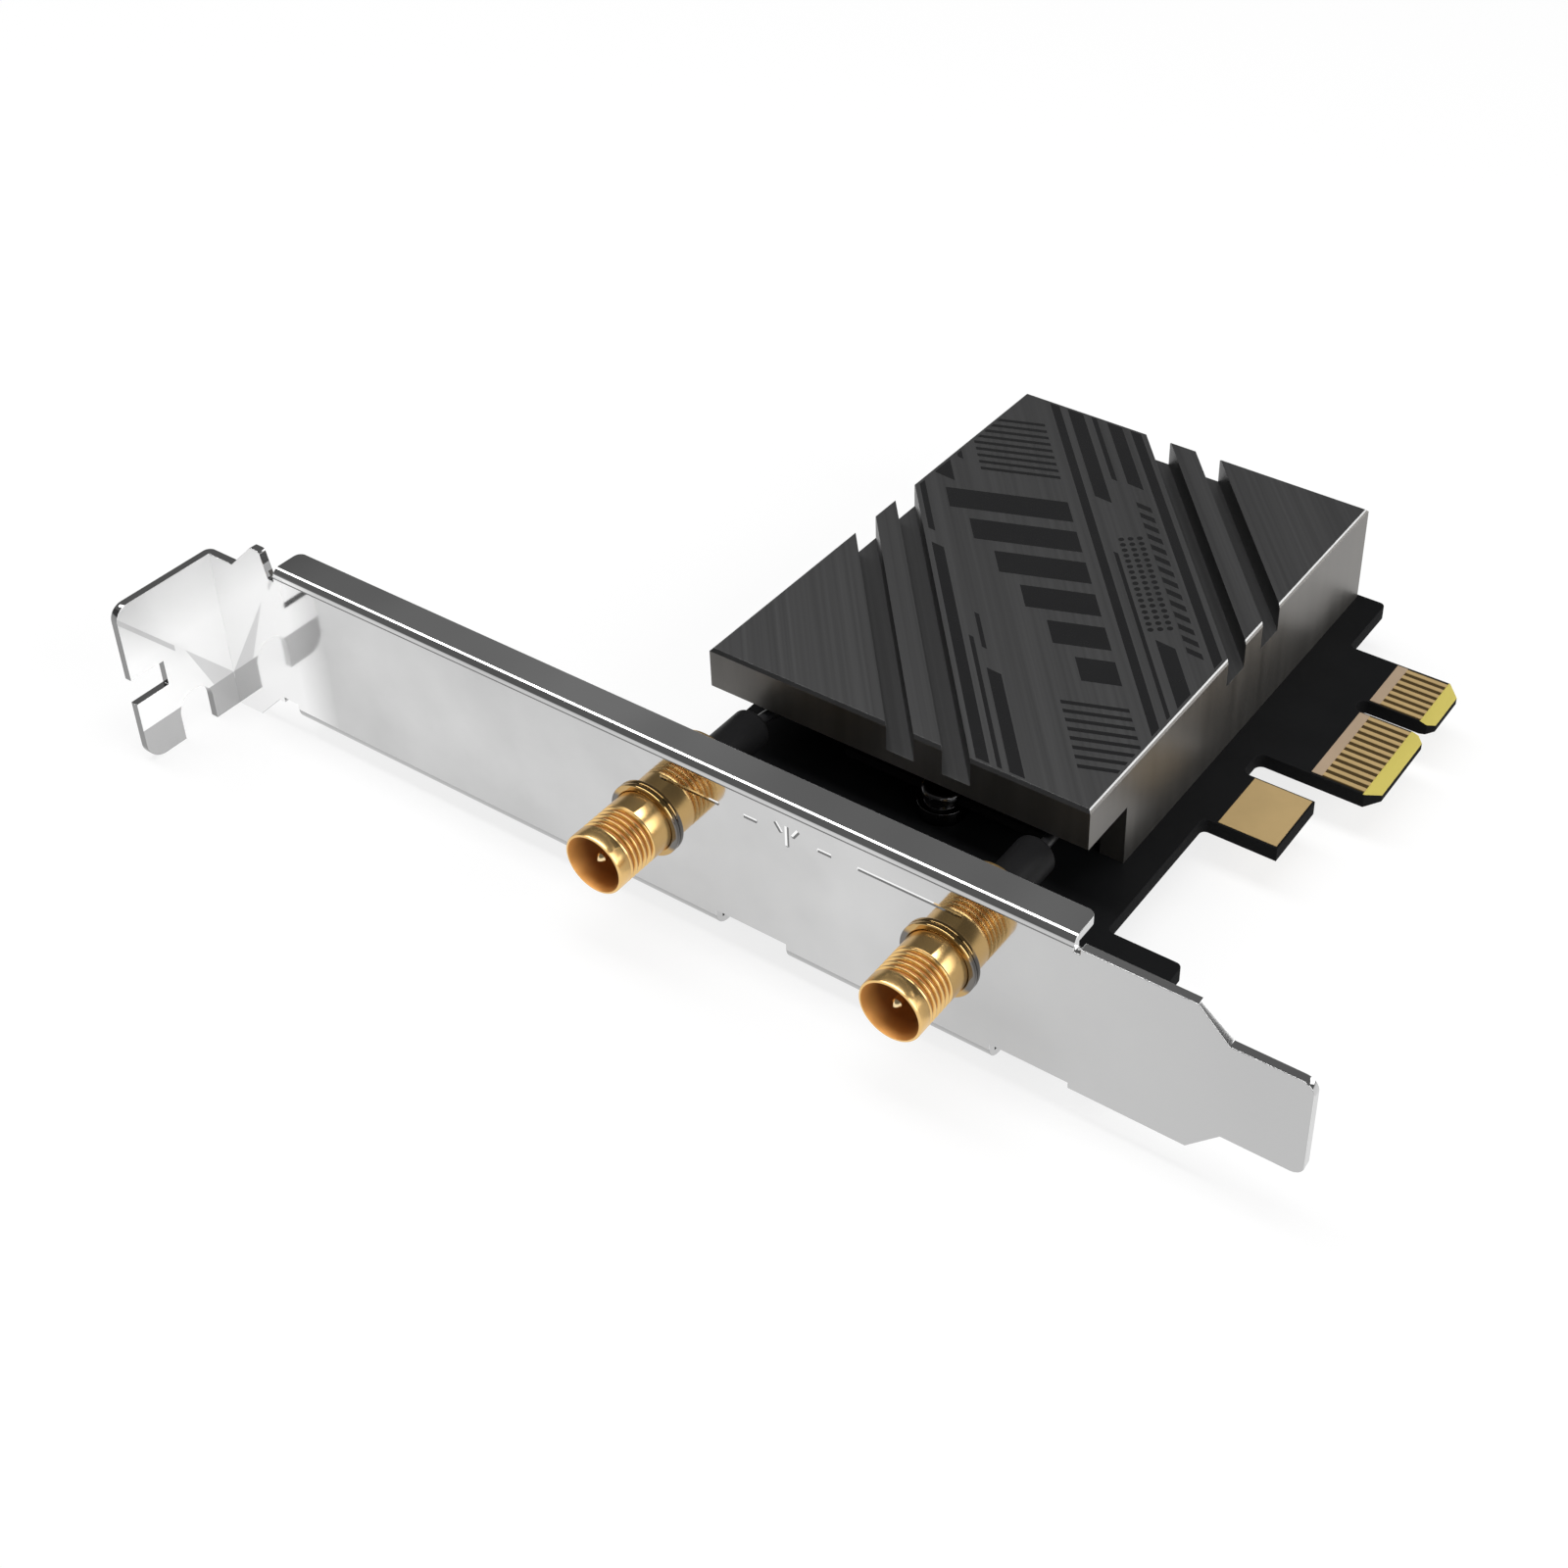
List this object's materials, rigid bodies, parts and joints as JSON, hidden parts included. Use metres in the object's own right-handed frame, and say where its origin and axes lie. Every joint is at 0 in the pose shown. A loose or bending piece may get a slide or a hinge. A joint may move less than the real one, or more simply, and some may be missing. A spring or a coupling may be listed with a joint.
{
  "type": "wireless network expansion card",
  "caption": "Expansion card with a folded metal slot bracket, a grooved heatsink over a radio module, a gold edge connector and threaded antenna jacks.",
  "frame": {"origin": "middle of the connector's key notch, on the connector's leading edge, half-way through the board", "axes": "+X from the bracket into the case, +Y from the connector's leading edge to the bracket's screw tab, +Z out of the component side"},
  "size_m": [0.0849, 0.1201, 0.0216],
  "materials": {
    "solder_mask": "matte black solder mask",
    "contact_gold": "gold plated",
    "bracket_nickel": "bright nickel plated steel",
    "screw_steel": "zinc plated",
    "screw_black": "black zinc",
    "nut_nickel": "polished nickel",
    "jack_gold": "polished gold plated brass",
    "insulator_amber": "satin amber",
    "sleeve_rubber": "satin heat-shrunk sleeve",
    "coax_jacket": "smooth jacket",
    "socket_plastic": "moulded",
    "shield_tin": "tinned",
    "chip_resin": "moulded resin",
    "capacitor_ceramic": "fired",
    "pad_silicone": "soft pad",
    "sink_aluminium": "brushed black anodised"
  },
  "bodies": {
    "root": {"circuit_board": "solder_mask", "edge_contacts": "contact_gold", "retainer_pads": "contact_gold", "bracket": "bracket_nickel", "bracket_screws": "screw_steel", "ring_nuts": "nut_nickel", "lock_washers": "nut_nickel", "coax_receptacles": "jack_gold", "module_board": "solder_mask", "module_socket": "socket_plastic", "module_standoff": "screw_black", "module_screw": "screw_black", "module_shield": "shield_tin", "radio_chip": "chip_resin", "thermal_pad": "pad_silicone", "heatsink": "sink_aluminium", "heatsink_screws": "screw_black", "bulk_capacitors": "chip_resin", "small_capacitors": "capacitor_ceramic", "jack_body_lower": "jack_gold", "jack_body_upper": "jack_gold", "jack_insulator_lower": "insulator_amber", "jack_insulator_upper": "insulator_amber", "jack_pin_lower": "jack_gold", "jack_pin_upper": "jack_gold", "crimp_sleeve_lower": "sleeve_rubber", "crimp_sleeve_upper": "sleeve_rubber", "coax_lower": "coax_jacket", "coax_upper": "coax_jacket", "coax_plug_lower": "jack_gold", "coax_plug_upper": "jack_gold"}
  },
  "joints": []
}
